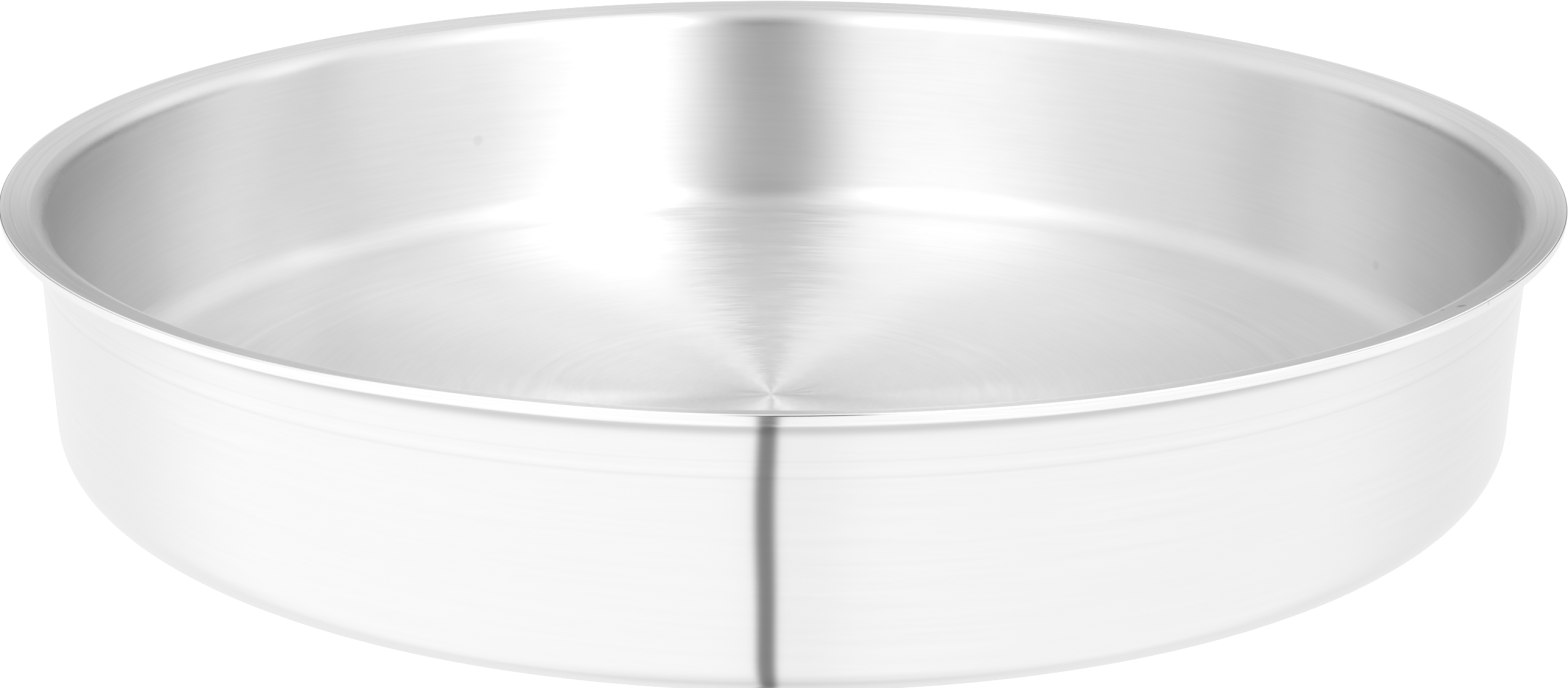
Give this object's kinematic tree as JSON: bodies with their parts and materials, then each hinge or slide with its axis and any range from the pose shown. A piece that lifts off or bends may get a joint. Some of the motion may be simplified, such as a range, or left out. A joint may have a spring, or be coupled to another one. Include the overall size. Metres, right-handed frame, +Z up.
{
  "type": "round cake tin",
  "caption": "Seamless round cake tin in bright aluminium sheet, with a nearly upright wall, a rounded floor corner and a turned-out rim with a plain trimmed edge.",
  "frame": {"origin": "centre of the flat underside, on the table", "axes": "+Z up along the tin's axis of symmetry; X and Y are any two square directions across the tin"},
  "size_m": [0.2964, 0.2964, 0.0513],
  "materials": {
    "aluminium_sheet": "bright metal with fine circular spinning marks: brushed inside and on the rim, smoother outside"
  },
  "bodies": {
    "root": {"tin_shell": "aluminium_sheet"}
  },
  "joints": []
}
